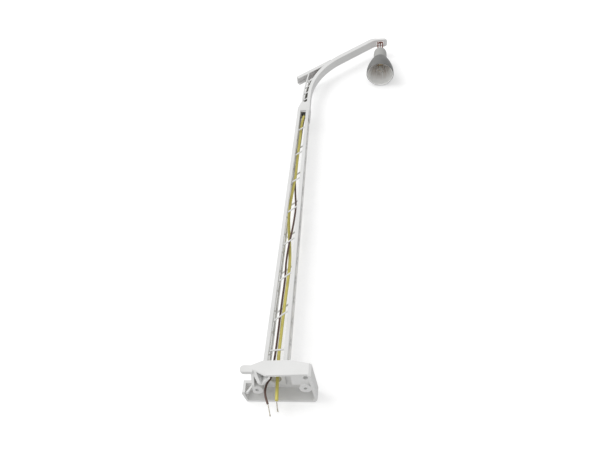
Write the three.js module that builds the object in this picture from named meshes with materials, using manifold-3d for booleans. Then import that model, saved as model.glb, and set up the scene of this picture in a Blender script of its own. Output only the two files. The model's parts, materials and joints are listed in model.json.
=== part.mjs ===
// A model-railway yard light: a tapered lattice mast on a hollow foot, with a bent channel arm that carries
// a hanging lamp. Millimetres, +Z up along the mast, +X towards the lamp, -Y the front of the mast.
// The origin is on the mast's axis, in the plane where the foot sits on the layout board.
import * as THREE from "three";
import { mergeVertices } from "three/addons/utils/BufferGeometryUtils.js";
import Module from "manifold-3d";

const wasm = await Module();
wasm.setup();

// ---------------------------------------------------------------- driving dimensions
const GAP = 0.05; // between two pieces that are glued or that rest on each other
const SIDES = 32; // facets of a turned piece

// foot
const FOOT_TOP = 6.0;
const FOOT_END_TOP = 4.5; // its top slopes down to this at both ends
const PLATE = 1.0; // top plate
const WALL = 0.85;
const CORNER_SLANT = 0.6; // how fast the cut at the lower left corner runs out to the rear
const FRONT_LIFT = 0.5; // the front wall's lower edge stands this much above the board
const POSTS = [[-5.35, 0], [10.05, -1.1]]; // screw posts, where they stand in plan
const POST_RADIUS = 1.95;
const POST_BORE = 0.6;
const WIRE_HOLE = 2.0; // radius, in the plug that locks the mast into the foot
const PLUG_HALF = 2.7;
const PLUG_LIP = 3.2;
const LIP_TOP = FOOT_TOP - PLATE - GAP; // the plug's lip lies under the top plate
const LIP_LOW = LIP_TOP - 0.7;

// lattice mast, square in plan
const MAST_FOOT = FOOT_TOP + GAP;
const MAST_HEAD = 139.1;
const HALF_FOOT = 3.86; // half its width at the foot
const HALF_HEAD = 2.42;
const FLANGE = 1.3; // the corner angles
const ANGLE_T = 0.45;
const LACE_T = 0.35; // lattice ladders, behind the angles' flanges
const LACE_RAIL = 0.4;
const LACE_BAR = 0.45;
const LACE_INSET = 0.88; // from the mast's corner to a ladder's rail
const FIRST_TIE = 13.2; // height of the level tie above the foot
const FIRST_DIAGONAL = 27.2;
const DIAGONAL_PITCH = 17.7; // between diagonals, a little less with each one up
const DIAGONAL_LESS = 0.17;
const DIAGONALS = 7;
const REAR_SHIFT = 8.5; // the rear ladder's diagonals stand half a bay higher
const SIDE_BAYS = 29;

// head block, upper lattice and arm
const BLOCK_TOP = 144.8;
const SHOULDER = 140.9; // its upper left corner is cut off from here
const CHEEK_LOW = 135.6; // the block's right cheek reaches down over the mast
const ARM_HALF = 1.85; // half the arm's width, front to back
const ARM_DEPTH = 2.05; // of the channel on its slope
const ARM_END_DEPTH = 1.25; // at the upright foot and at the level tip
const ARM_WALL = 0.42;
const KNEE_START = 151.56; // the upright part of the arm starts to bend here
const KNEE_RADIUS = 34.9; // of its outer face
const ARM_SLOPE = Math.atan(0.86);
const ARM_LEVEL = 191.2; // underside of the arm's level end
const END_RADIUS = 3.5;
const ARM_TIP = 35.5;
const TIP_CORNER = 1.45; // radius of the tip's corners, in plan
const STRUT_END = -4.65; // the straight strut starts past the mast, on the far side from the lamp
const STRUT_DEPTH = 1.65;
const STRUT_WALL = 0.45;
const LEG_W = 0.55; // the upper lattice's left legs
const LEG_T = 0.38; // their thickness, front to back
const LEG_FOOT_X = -1.15;
// their left edge, as (x, z), from the head block to under the strut
const LEG_LINE = [[LEG_FOOT_X, BLOCK_TOP], [LEG_FOOT_X, 150], [-0.75, 156.5], [0.3, 166]];
const UPPER_LACE_T = 0.25;
const UPPER_BARS = [144.5, 146.85, 151.35, 155.85, 160.35]; // where the slanted bars leave their left rail
const UPPER_RISE = 1.7; // how much higher they meet the arm

// lamp
const LAMP_X = 32.4;
const PIN_RADIUS = 0.25;
const PIN_Z = ARM_LEVEL + ARM_WALL + GAP + PIN_RADIUS; // it rests on the channel's web
const HANGER_WIRE = 0.22;
const NECK_SPREAD = 1.05; // the copper leads, each side of the hanger
const LEAD_RADIUS = 0.26;
const ARM_LEAD_RADIUS = 0.22; // the same leads inside the arm
const LEAD_Y = 0.38;
const SLEEVE_Y = 0.58; // the sleeves that cover the solder joints
const SLEEVE_RADIUS = 0.48;
const CAP_TOP = 185.1;
const CAP_RADIUS = 2.95;
const SHADE_TOP = 177.9;
const RIM_Z = 166.5;
const RIM_RADIUS = 6.0;
const SHADE_WALL = 0.4;

// wires
const YELLOW_RADIUS = 0.55;
const BROWN_RADIUS = 0.36;
const BARE_RADIUS = 0.2;
const CORD_SIDES = 8;

// ---------------------------------------------------------------- materials
const material = (name, color, roughness, metalness = 0, more = {}) =>
  new THREE.MeshStandardMaterial({ name, color, roughness, metalness, ...more });
const GREY = material("grey_plastic", 0xdcdcda, 0.5);
const SHADE_GREY = material("shade_grey", 0x8c8c89, 0.4, 0.2);
const CAP_GREY = material("cap_grey", 0xa9a9a5, 0.45, 0.1);
const COPPER = material("enamelled_copper", 0x9a4a2c, 0.35, 0.8);
const TINNED = material("tinned_copper", 0xd8d2c4, 0.35, 0.9);
const BRASS = material("brass", 0xb99a52, 0.35, 0.9);
const YELLOW = material("yellow_insulation", 0xd9cd52, 0.5);
const BROWN = material("brown_insulation", 0x4b3029, 0.5);
const BLACK = material("black_phenolic", 0x2a2523, 0.6);
const GLASS = material("clear_glass", 0xf2f2ee, 0.05, 0, { transparent: true, opacity: 0.35 });
const STEEL = material("bright_steel", 0xb9b9b6, 0.3, 0.9);

// ---------------------------------------------------------------- helpers
const root = new THREE.Group();

function add(name, geometry, mat) {
  const mesh = new THREE.Mesh(geometry, mat);
  mesh.name = name;
  root.add(mesh);
  return mesh;
}

// A geometry as a manifold solid, which keeps only its merged positions.
function solid(geometry) {
  const bare = geometry.clone();
  for (const key of ["normal", "uv"]) bare.deleteAttribute(key);
  const merged = mergeVertices(bare, 1e-5);
  return new wasm.Manifold(
    new wasm.Mesh({
      numProp: 3,
      vertProperties: new Float32Array(merged.attributes.position.array),
      triVerts: new Uint32Array(merged.index.array),
    }),
  );
}

function toGeometry(body) {
  const mesh = body.getMesh();
  const geometry = new THREE.BufferGeometry();
  const points = new Float32Array((mesh.vertProperties.length / mesh.numProp) * 3);
  for (let i = 0; i < points.length / 3; i++)
    for (let k = 0; k < 3; k++) points[3 * i + k] = mesh.vertProperties[mesh.numProp * i + k];
  geometry.setAttribute("position", new THREE.BufferAttribute(points, 3));
  geometry.setIndex(new THREE.BufferAttribute(new Uint32Array(mesh.triVerts), 1));
  geometry.computeVertexNormals();
  return geometry;
}

// A box from its lowest corner to its highest.
function box(low, high) {
  const size = high.map((v, i) => v - low[i]);
  const geometry = new THREE.BoxGeometry(...size);
  return geometry.translate(...low.map((v, i) => v + size[i] / 2));
}

function shapeOf(points, holes = []) {
  const shape = new THREE.Shape(points.map(([x, y]) => new THREE.Vector2(x, y)));
  for (const hole of holes) shape.holes.push(new THREE.Path(hole.map(([x, y]) => new THREE.Vector2(x, y))));
  return shape;
}

// An outline in plan, from one height to another.
function planPrism(points, low, high) {
  const geometry = new THREE.ExtrudeGeometry(shapeOf(points), { depth: high - low, bevelEnabled: false });
  return geometry.translate(0, 0, low);
}

// An outline seen from the front, as (x, z), from one depth y to another.
function frontPrism(points, low, high, holes = []) {
  const shape = shapeOf(points, holes);
  const geometry = new THREE.ExtrudeGeometry(shape, { depth: high - low, bevelEnabled: false });
  return geometry.rotateX(Math.PI / 2).translate(0, high, 0);
}

// A body of revolution round a vertical axis at x; the profile lists (radius, z).
function turned(profile, x = 0, sides = SIDES) {
  const points = profile.map(([r, z]) => new THREE.Vector2(r, z));
  if (THREE.ShapeUtils.isClockWise(points)) points.reverse();
  const geometry = new THREE.LatheGeometry(points, sides);
  return geometry.rotateX(Math.PI / 2).translate(x, 0, 0);
}

function cylinder(radius, low, high, x = 0, y = 0, sides = 20) {
  const geometry = new THREE.CylinderGeometry(radius, radius, high - low, sides);
  return geometry.rotateX(Math.PI / 2).translate(x, y, (low + high) / 2);
}

// A round wire along a smooth route through the points.
function wire(points, radius, steps, sides = CORD_SIDES) {
  const route = new THREE.CatmullRomCurve3(points.map((p) => new THREE.Vector3(...p)), false, "centripetal");
  const section = new THREE.Shape();
  for (let i = 0; i < sides; i++) {
    const turn = (2 * Math.PI * i) / sides;
    section[i ? "lineTo" : "moveTo"](radius * Math.cos(turn), radius * Math.sin(turn));
  }
  section.closePath();
  const settings = { steps, extrudePath: route, bevelEnabled: false, curveSegments: 1 };
  return new THREE.ExtrudeGeometry(section, settings);
}

const mix = (a, b, t) => a + (b - a) * t;

// ---------------------------------------------------------------- foot
const FRONT = -7.2;
const BACK = 6.5;
// plan of the foot, front left round to rear left; the rear is the longer side
const footPlan = [
  [-6.8, FRONT],
  [11.4, FRONT - 0.9],
  [12.2, FRONT - 0.5],
  [13.4, 4.6],
  [13.1, 5.7],
  [12.3, BACK],
  [-9.4, BACK],
  [-10.5, 2.2],
  [-10.3, 1.2],
  [-6.8, 1.2],
];
// its front view: a level top that slopes away to both ends
const footProfile = [
  [-10.6, 0],
  [13.6, 0],
  [13.6, FOOT_END_TOP - 0.2],
  [11.2, FOOT_END_TOP + 0.2],
  [5.6, FOOT_TOP],
  [-3.4, FOOT_TOP],
  [-6.8, FOOT_END_TOP],
  [-10.6, FOOT_END_TOP],
];

function insetPlan() {
  return [
    [-6.8 + WALL, FRONT + WALL],
    [11.4 - WALL * 0.3, FRONT - 0.9 + WALL],
    [13.4 - WALL, 4.6],
    [13.1 - WALL, 5.2],
    [12.3 - WALL * 0.6, BACK - WALL],
    [-9.4 + WALL * 0.5, BACK - WALL],
    [-10.5 + WALL, 2.3],
    [-10.3 + WALL, 1.2 - GAP],
    [-6.8 + WALL, 1.2 - GAP],
  ];
}

// Two ribs close a deep three-cornered pocket behind the front wall, beside the cut corner.
function cornerRibs() {
  const inside = FRONT + WALL;
  const block = [
    [-6.5, FRONT + 0.2],
    [-0.45, FRONT + 0.2],
    [-0.6, inside],
    [-3.0, -2.8],
    [-4.2, -2.8],
    [-6.5, inside],
  ];
  const pocket = [
    [-5.1, FRONT + 0.35],
    [-0.9, FRONT + 0.35],
    [-3.5, -3.35],
  ];
  return {
    block: solid(planPrism(block, 0, LIP_LOW - GAP)),
    pocket: solid(planPrism(pocket, -1, FOOT_END_TOP - PLATE)),
  };
}

// A thin rib slants down across the rear left bay.
function bayRib() {
  const top = FOOT_END_TOP - PLATE + 0.2;
  return solid(frontPrism([[-9.1, 0], [-8.45, 0], [-6.5, top], [-7.15, top]], 1.25, 2.1));
}

// A low block with a small hole joins the right screw post to the front wall.
function rightRib() {
  const top = FOOT_END_TOP - PLATE + 0.2;
  const block = solid(box([5.8, FRONT + 0.2, 0.7], [11.5, -2.2, top]));
  return block.subtract(solid(cylinder(0.85, -1, top - 0.6, 10.4, -5.9, 16)));
}

function buildFoot() {
  const outer = solid(planPrism(footPlan, 0, FOOT_TOP)).intersect(solid(frontPrism(footProfile, -12, 12)));
  const innerProfile = footProfile.map(([x, z]) => [x, z === 0 ? -1 : z - PLATE]);
  const innerFront = solid(frontPrism(innerProfile, -12, 12));
  const cavity = solid(planPrism(insetPlan(), -1, FOOT_TOP)).intersect(innerFront);
  // the rear left bay is open towards the notch beside it
  const bay = solid(box([-10.3 + WALL, 0.4, -1], [-6.8 + WALL, 3.0, FOOT_END_TOP - PLATE]));
  const corner = cornerRibs();
  let foot = outer.subtract(cavity).subtract(bay).add(corner.block.intersect(outer)).subtract(corner.pocket);
  foot = foot.add(rightRib()).add(bayRib());
  // the lower front left corner is cut off at a slant
  const cut = [
    [-7.4, -1],
    [-0.6, -1],
    [-1.2, 0.15],
    [-5.2, 2.4],
    [-7.4, 3.0],
  ];
  const slant = new THREE.Matrix4().makeTranslation(0, -FRONT, 0);
  slant.premultiply(new THREE.Matrix4().makeShear(0, 0, 0, -CORNER_SLANT, 0, 0));
  slant.premultiply(new THREE.Matrix4().makeTranslation(0, FRONT, 0));
  foot = foot.subtract(solid(frontPrism(cut, FRONT - 2, FRONT + 4.5).applyMatrix4(slant)));
  foot = foot.subtract(solid(box([-2, FRONT - 2, -1], [11.2, FRONT + WALL, FRONT_LIFT])));
  // screw posts under the top plate
  for (const [x, y] of POSTS)
    foot = foot
      .add(solid(cylinder(POST_RADIUS, 0, FOOT_END_TOP - 0.3, x, y)).intersect(outer))
      .subtract(solid(cylinder(POST_BORE, -1, FOOT_END_TOP - PLATE, x, y, 12)));
  // a finger at the front left, level with the wall's face, with a round tip
  const tip = -10.3;
  const low = 1.9;
  const high = 4.4;
  const radius = (high - low) / 2;
  const finger = [[-6.2, low], [tip + radius, low]];
  for (let i = 1; i < 8; i++) {
    const turn = Math.PI / 2 + (Math.PI * i) / 8;
    finger.push([tip + radius + radius * Math.cos(turn), (low + high) / 2 - radius * Math.sin(turn)]);
  }
  finger.push([tip + radius, high], [-6.2, high]);
  foot = foot.add(solid(frontPrism(finger, FRONT, FRONT + 1.3)));
  // the mast's plug goes through the top plate
  const hole = PLUG_HALF + GAP;
  foot = foot.subtract(solid(box([-hole, -hole, 1], [hole, hole, 9])));
  add("foot_shell", toGeometry(foot), GREY);
}

function buildPlug() {
  const body = solid(box([-PLUG_HALF, -PLUG_HALF, LIP_LOW + 0.3], [PLUG_HALF, PLUG_HALF, FOOT_TOP + 0.4]))
    .add(solid(box([-PLUG_LIP, -PLUG_LIP, LIP_LOW], [PLUG_LIP, PLUG_LIP, LIP_TOP])))
    .subtract(solid(cylinder(WIRE_HOLE, 0, 12, 0, 0, 24)));
  add("mast_plug", toGeometry(body), GREY);
}

// ---------------------------------------------------------------- lattice mast
const TAPER = (HALF_FOOT - HALF_HEAD) / (MAST_HEAD - MAST_FOOT);
const half = (z) => HALF_FOOT - TAPER * (z - MAST_FOOT);

// Leans an upright piece inwards by the mast's taper, on the sides it is given.
function lean(geometry, signX, signY) {
  const shear = new THREE.Matrix4().set(
    1, 0, -signX * TAPER, signX * TAPER * MAST_FOOT,
    0, 1, -signY * TAPER, signY * TAPER * MAST_FOOT,
    0, 0, 1, 0,
    0, 0, 0, 1,
  );
  return geometry.applyMatrix4(shear);
}

function buildAngles() {
  const top = MAST_HEAD - GAP;
  for (const [front, y] of [["front", -1], ["rear", 1]])
    for (const [side, x] of [["left", -1], ["right", 1]]) {
      const corner = HALF_FOOT;
      const points = [
        [corner, corner],
        [corner - FLANGE, corner],
        [corner - FLANGE, corner - ANGLE_T],
        [corner - ANGLE_T, corner - ANGLE_T],
        [corner - ANGLE_T, corner - FLANGE],
        [corner, corner - FLANGE],
      ].map(([a, b]) => [a * x, b * y]);
      add(`mast_angle_${front}_${side}`, lean(planPrism(points, MAST_FOOT, top), x, y), GREY);
    }
}

// A ladder that fills one face of the mast: two rails, and openings that leave its bars standing.
// Across is measured from the face's middle, up is the height.
function ladder(openings) {
  const low = MAST_FOOT + 0.1;
  const high = MAST_HEAD - 0.15;
  const reach = (z) => half(z) - LACE_INSET;
  const outline = [
    [-reach(low), low],
    [reach(low), low],
    [reach(high), high],
    [-reach(high), high],
  ];
  const inner = (z) => reach(z) - LACE_RAIL;
  const holes = openings.map((corners) => corners.map(([side, z]) => [side * inner(z), z]));
  const face = HALF_FOOT - ANGLE_T - GAP;
  return frontPrism(outline, -face, LACE_T - face, holes);
}

// Openings between single diagonals that all rise the same way: to the right, or with way -1 to the left.
function diagonalOpenings(firstEdges, shift, way) {
  const edges = [...firstEdges];
  for (let i = 0; i < DIAGONALS; i++) {
    const z = FIRST_DIAGONAL + shift + DIAGONAL_PITCH * i - DIAGONAL_LESS * i * i;
    const rise = half(z) - FLANGE;
    if (z + rise + 4 < MAST_HEAD) edges.push({ z, rise, thick: LACE_BAR * Math.SQRT1_2 });
  }
  edges.push({ z: MAST_HEAD - 0.35, rise: 0, thick: 0.1 });
  const openings = [];
  for (let i = 0; i + 1 < edges.length; i++) {
    const a = edges[i];
    const b = edges[i + 1];
    openings.push([
      [-1, a.z - way * a.rise + a.thick],
      [1, a.z + way * a.rise + a.thick],
      [1, b.z + way * b.rise - b.thick],
      [-1, b.z - way * b.rise - b.thick],
    ]);
  }
  return openings;
}

// Openings between bars that zigzag from rail to rail.
function zigzagOpenings() {
  const low = MAST_FOOT + 0.8;
  const high = MAST_HEAD - 0.9;
  const bay = (high - low) / SIDE_BAYS;
  const trim = LACE_BAR * Math.SQRT2;
  const openings = [];
  for (let i = 0; i + 1 < SIDE_BAYS; i++) {
    const side = i % 2 ? 1 : -1;
    const z = low + bay * i;
    openings.push([
      [side, z + trim],
      [-side, z + bay],
      [side, z + 2 * bay - trim],
    ]);
  }
  return openings;
}

function buildLadders() {
  const start = { z: MAST_FOOT + 0.4, rise: 0, thick: 0.2 };
  const tie = { z: FIRST_TIE, rise: 0.35, thick: 0.24 };
  const front = ladder(diagonalOpenings([start, tie], 0, 1));
  const rear = ladder(diagonalOpenings([start, tie], REAR_SHIFT, -1));
  add("front_ladder", lean(front, 0, -1), GREY);
  add("rear_ladder", lean(rear.rotateZ(Math.PI), 0, 1), GREY);
  add("left_ladder", lean(ladder(zigzagOpenings()).rotateZ(-Math.PI / 2), -1, 0), GREY);
  add("right_ladder", lean(ladder(zigzagOpenings()).rotateZ(Math.PI / 2), 1, 0), GREY);
}

// ---------------------------------------------------------------- head block, arm and upper lattice
const PASSAGE = 1.35; // half the wires' way through the head block

function buildHeadBlock() {
  const right = HALF_HEAD + 0.28;
  const outline = [
    [-HALF_HEAD, MAST_HEAD],
    [HALF_HEAD + GAP, MAST_HEAD],
    [HALF_HEAD + GAP, CHEEK_LOW],
    [right, CHEEK_LOW + 0.4],
    [right, BLOCK_TOP - 1.2],
    [HALF_HEAD, BLOCK_TOP],
    [LEG_FOOT_X - 0.1, BLOCK_TOP],
    [-HALF_HEAD, SHOULDER],
  ];
  const block = solid(frontPrism(outline, -HALF_HEAD, HALF_HEAD));
  const way = solid(box([-PASSAGE + 0.35, -PASSAGE, MAST_HEAD - 1], [PASSAGE + 0.35, PASSAGE, BLOCK_TOP + 1]));
  add("head_block", toGeometry(block.subtract(way)), GREY);
}

// The arm's outer face, from its foot on the head block to its tip: upright, a long bend, straight, level.
// Each point also has the channel's depth there.
const armRun = (() => {
  const [right, up] = [HALF_HEAD, BLOCK_TOP + GAP];
  const centre = [right + KNEE_RADIUS, KNEE_START];
  const turn = Math.PI / 2 - ARM_SLOPE;
  const points = [{ at: [right, up], normal: [-1, 0], depth: ARM_END_DEPTH }];
  const kneeSteps = 12;
  for (let i = 0; i <= kneeSteps; i++) {
    const a = Math.PI - (turn * i) / kneeSteps;
    points.push({
      at: [centre[0] + KNEE_RADIUS * Math.cos(a), centre[1] + KNEE_RADIUS * Math.sin(a)],
      normal: [Math.cos(a), Math.sin(a)],
      depth: mix(ARM_END_DEPTH, ARM_DEPTH, i / kneeSteps),
    });
  }
  const knee = points[points.length - 1];
  const rise = ARM_LEVEL - knee.at[1];
  const inset = END_RADIUS * Math.tan(ARM_SLOPE / 2);
  const corner = knee.at[0] + rise / Math.tan(ARM_SLOPE);
  const bend = [corner + inset, ARM_LEVEL - END_RADIUS];
  const endSteps = 5;
  for (let i = 0; i <= endSteps; i++) {
    const a = Math.PI / 2 + ARM_SLOPE * (1 - i / endSteps);
    points.push({
      at: [bend[0] + END_RADIUS * Math.cos(a), bend[1] + END_RADIUS * Math.sin(a)],
      normal: [Math.cos(a), Math.sin(a)],
      depth: mix(ARM_DEPTH, ARM_END_DEPTH, i / endSteps),
    });
  }
  points.push({ at: [ARM_TIP, ARM_LEVEL], normal: [0, 1], depth: ARM_END_DEPTH });
  return points;
})();

const KNEE_END = 13; // the point of the run where the straight slope starts
const along = ({ at, normal }, reach) => [at[0] + reach * normal[0], at[1] + reach * normal[1]];
const armLine = (reach) => armRun.map((point) => along(point, reach));
const armEdge = (more) => armRun.map((point) => along(point, point.depth + more));

function buildArm() {
  const outer = armLine(0);
  const flange = [...outer, ...armEdge(0).reverse()];
  const web = solid(frontPrism([...outer, ...armLine(ARM_WALL).reverse()], -ARM_HALF, ARM_HALF));
  const front = solid(frontPrism(flange.slice(), -ARM_HALF, -ARM_HALF + ARM_WALL));
  const rear = solid(frontPrism(flange.slice(), ARM_HALF - ARM_WALL, ARM_HALF));
  const top = ARM_LEVEL + ARM_END_DEPTH;
  const [tipInner, sideInner, cornerInner] = [ARM_TIP, ARM_HALF, TIP_CORNER].map((v) => v - ARM_WALL);
  const tipHollow = solid(roundEnd(tipInner, sideInner, cornerInner, ARM_LEVEL - 1, top + 1));
  const tipBlock = solid(box([ARM_TIP - TIP_CORNER, -ARM_HALF, ARM_LEVEL], [ARM_TIP, ARM_HALF, top]));
  const tip = tipBlock.subtract(tipHollow);
  // the leads and the hanger's eye pass through a slot in the web
  const slotEnds = [LAMP_X - NECK_SPREAD - 0.75, LAMP_X + NECK_SPREAD + 0.4];
  const slot = solid(box([slotEnds[0], -0.85, ARM_LEVEL - 1], [slotEnds[1], 0.85, ARM_LEVEL + 1]));
  const plan = solid(roundEnd(ARM_TIP, ARM_HALF, TIP_CORNER, BLOCK_TOP, ARM_LEVEL + 4));
  add("arm_channel", toGeometry(web.add(front).add(rear).add(tip).subtract(slot).intersect(plan)), GREY);
}

// A block whose two upright edges at its end are rounded.
function roundEnd(end, halfWidth, radius, low, high) {
  const steps = 5;
  const plan = [[-1, halfWidth], [-1, -halfWidth]];
  for (const side of [-1, 1])
    for (let i = 0; i <= steps; i++) {
      const turn = (Math.PI / 2 / steps) * (side < 0 ? i : steps - i);
      const [out, across] = [radius * Math.sin(turn), radius * Math.cos(turn)];
      plan.push([end - radius + out, side * (halfWidth - radius + across)]);
    }
  return planPrism(plan, low, high);
}

// The straight strut's top runs on from the arm's top edge, down to its free end past the mast.
function strutTop(x) {
  const [ax, az] = armEdge(0)[KNEE_END];
  return az + (x - ax) * Math.tan(ARM_SLOPE);
}

const strutUnder = (x) => strutTop(x) - STRUT_DEPTH / Math.cos(ARM_SLOPE);

// The strut is a channel too, open below.
function buildStrut() {
  const right = armEdge(0)[KNEE_END][0] - 3.1; // where it thins away against the arm
  const side = [Math.sin(ARM_SLOPE), -Math.cos(ARM_SLOPE)];
  const bar = (depth, reach) => {
    const drop = depth / Math.cos(ARM_SLOPE);
    const outline = [
      [STRUT_END, strutTop(STRUT_END)],
      [STRUT_END + depth * side[0], strutTop(STRUT_END) + depth * side[1]],
      [right, strutTop(right) - drop],
      [right, strutTop(right)],
    ];
    return solid(frontPrism(outline, -reach, reach));
  };
  const inner = ARM_HALF - STRUT_WALL;
  const hollow = bar(STRUT_DEPTH + 1, inner).translate([0, 0, -STRUT_WALL / Math.cos(ARM_SLOPE)]);
  const channel = solid(frontPrism([...armLine(-1), ...armEdge(GAP).reverse()], -ARM_HALF - 1, ARM_HALF + 1));
  const parts = bar(STRUT_DEPTH, ARM_HALF).subtract(hollow).subtract(channel).decompose();
  parts.sort((a, b) => b.volume() - a.volume());
  add("top_strut", toGeometry(parts[0]), GREY);
}

// Left edge of the upper lattice's left legs at a height: upright, then leaning over towards the lamp.
function legLeft(z) {
  for (let i = 0; i + 1 < LEG_LINE.length; i++) {
    const [a, b] = [LEG_LINE[i], LEG_LINE[i + 1]];
    if (z <= b[1]) return mix(a[0], b[0], (z - a[1]) / (b[1] - a[1]));
  }
  return LEG_LINE[LEG_LINE.length - 1][0];
}

function buildUpperLegs() {
  const low = BLOCK_TOP + GAP;
  const rise = strutUnder(0) - GAP;
  const slope = Math.tan(ARM_SLOPE);
  const [turnX, turnZ] = LEG_LINE[2];
  const [topX, topZ] = LEG_LINE[3];
  const tilt = (topX - turnX) / (topZ - turnZ);
  // where a leg's edge comes up against the strut
  const meet = (width) => {
    const z = (rise + slope * (turnX + width - tilt * turnZ)) / (1 - slope * tilt);
    return [turnX + width + tilt * (z - turnZ), z];
  };
  const edge = (width) => {
    const lower = [[LEG_FOOT_X, low], LEG_LINE[1], LEG_LINE[2]];
    return [...lower.map(([x, z]) => [x + width, z]), meet(width)];
  };
  const outline = [...edge(0), ...edge(LEG_W).reverse()];
  add("upper_leg_front", frontPrism(outline.slice(), -ARM_HALF, -ARM_HALF + LEG_T), GREY);
  add("upper_leg_rear", frontPrism(outline.slice(), ARM_HALF - LEG_T, ARM_HALF), GREY);
}

// Slanted bars between the left legs and the arm, on a rail that lies against the legs' inner faces.
function buildUpperLadders() {
  const low = BLOCK_TOP + 2 * GAP;
  const bar = 0.6;
  const last = UPPER_BARS[UPPER_BARS.length - 1] + bar;
  const railLeft = (z) => legLeft(z) + 0.08;
  const arm = armEdge(-0.25);
  const right = (z) => {
    for (let i = 0; i + 1 < arm.length; i++) {
      const [a, b] = [arm[i], arm[i + 1]];
      if (z >= a[1] && z <= b[1]) return mix(a[0], b[0], (z - a[1]) / (b[1] - a[1]));
    }
    return arm[0][0];
  };
  const outline = [];
  const heights = [low, 150, 153, 156.5, 159];
  for (const z of [...heights, last]) outline.push([railLeft(z), z]);
  for (const z of [...heights, last, last + UPPER_RISE].reverse()) outline.push([right(z), z]);
  const rail = 0.42;
  const holes = [];
  for (let i = 0; i + 1 < UPPER_BARS.length; i++) {
    const a = UPPER_BARS[i] + bar;
    const b = UPPER_BARS[i + 1];
    holes.push([
      [railLeft(a) + rail, a],
      [right(a + UPPER_RISE) - rail, a + UPPER_RISE],
      [right(b + UPPER_RISE) - rail, b + UPPER_RISE],
      [railLeft(b) + rail, b],
    ]);
  }
  const front = -ARM_HALF + LEG_T + GAP;
  for (const [name, y] of [["upper_ladder_front", front], ["upper_ladder_rear", -front - UPPER_LACE_T]])
    add(name, frontPrism(outline.slice(), y, y + UPPER_LACE_T, holes), GREY);
}

// ---------------------------------------------------------------- wires
// Both wires come down the mast, wind once round each other and pass out through the foot.
const yellowRoute = [
  [0.25, -0.6, 137], [-0.1, -0.56, 134], [-0.4, -0.52, 130], [-0.4, -0.5, 124], [-0.45, -0.6, 117],
  [-0.5, -0.65, 108], [-0.5, -0.7, 99], [-0.95, -0.75, 91], [-1.4, -0.5, 83], [-1.4, 0.25, 76],
  [-0.8, 0.85, 69], [0.0, 0.85, 62], [0.65, 0.35, 54], [0.75, -0.1, 46], [0.55, 0.0, 38],
  [0.4, 0.1, 30], [0.35, 0.05, 22], [0.3, 0.0, 14], [0.6, 0.0, 8], [0.75, 0.05, 3.5],
  [0.95, 0.15, -0.5], [1.1, 0.3, -3.5],
];
const brownRoute = [
  [0.3, 0.6, 137], [0.1, 0.6, 134], [-0.1, 0.6, 130], [-0.2, 0.6, 124], [-0.4, 0.55, 117],
  [-0.7, 0.4, 108], [-0.7, 0.4, 99], [-0.1, 0.7, 91], [0.7, 0.35, 83], [0.8, -0.5, 76],
  [0.5, -0.95, 69], [-0.1, -0.9, 62], [-0.5, -0.5, 54], [-0.3, -0.3, 46], [-0.45, -0.2, 38],
  [-0.6, -0.2, 30], [-0.65, -0.3, 22], [-0.8, -0.3, 14], [-1.1, -0.2, 8.6], [-1.25, -0.2, 6.0],
  [-1.48, -0.22, 4.3], [-2.15, -0.3, 3.0], [-2.6, -0.3, 1.4], [-2.75, -0.3, -0.5], [-2.35, -0.2, -2.7],
  [-1.5, 0.0, -5.0],
];
const yellowBare = [[1.12, 0.32, -3.85], [1.4, 0.5, -5.6], [1.8, 0.7, -7.6]];
const brownBare = [[-1.38, 0.02, -5.33], [-0.9, 0.15, -7.2], [-0.35, 0.3, -9.4]];

function buildWires() {
  add("yellow_wire", wire(yellowRoute, YELLOW_RADIUS, 60), YELLOW);
  add("brown_wire", wire(brownRoute, BROWN_RADIUS, 78), BROWN);
  add("yellow_bare_end", wire(yellowBare, BARE_RADIUS, 8), TINNED);
  add("brown_bare_end", wire(brownBare, BARE_RADIUS, 8), TINNED);
}

// From the solder joints at the mast's head, sleeves lead up through the head block and behind the legs.
// From them enamelled leads run inside the arm to the lamp.
const sleeveLine = [
  [0.28, 137.2], [0.25, 141], [0.2, 146], [0.25, 150], [0.5, 153], [0.85, 156.5], [1.4, 160], [2.15, 163],
];

function buildLeads() {
  for (const [name, side] of [["solder_sleeve_yellow", -1], ["solder_sleeve_brown", 1]]) {
    const route = sleeveLine.map(([x, z]) => [x, side * SLEEVE_Y, z]);
    add(name, wire(route, SLEEVE_RADIUS, 24, 10), BLACK);
  }
  const inside = armLine(ARM_WALL + ARM_LEAD_RADIUS + 0.35).slice(KNEE_END - 4, -2);
  const high = ARM_LEVEL + ARM_END_DEPTH - 0.2;
  const near = [[LAMP_X - NECK_SPREAD - 0.7, -0.35, high], [LAMP_X - NECK_SPREAD, -0.2, high]];
  const over = [
    [LAMP_X - 0.9, 0.6, high + 0.1],
    [LAMP_X, 0.66, high + 0.15],
    [LAMP_X + 0.8, 0.5, high + 0.1],
    [LAMP_X + NECK_SPREAD + 0.1, 0.1, high],
  ];
  for (const [name, y, end] of [["arm_lead_front", -LEAD_Y, near], ["arm_lead_rear", LEAD_Y, over]]) {
    const route = [[2.3, Math.sign(y) * 0.52, 163.5], [3.3, y, 165.2]];
    for (const [x, z] of inside) route.push([x, y, z]);
    add(name, wire([...route, ...end], ARM_LEAD_RADIUS, 40, 6), COPPER);
  }
}

// ---------------------------------------------------------------- lamp
const CAP_FLOOR = CAP_TOP - 0.9; // underside of the cap's top

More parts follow.
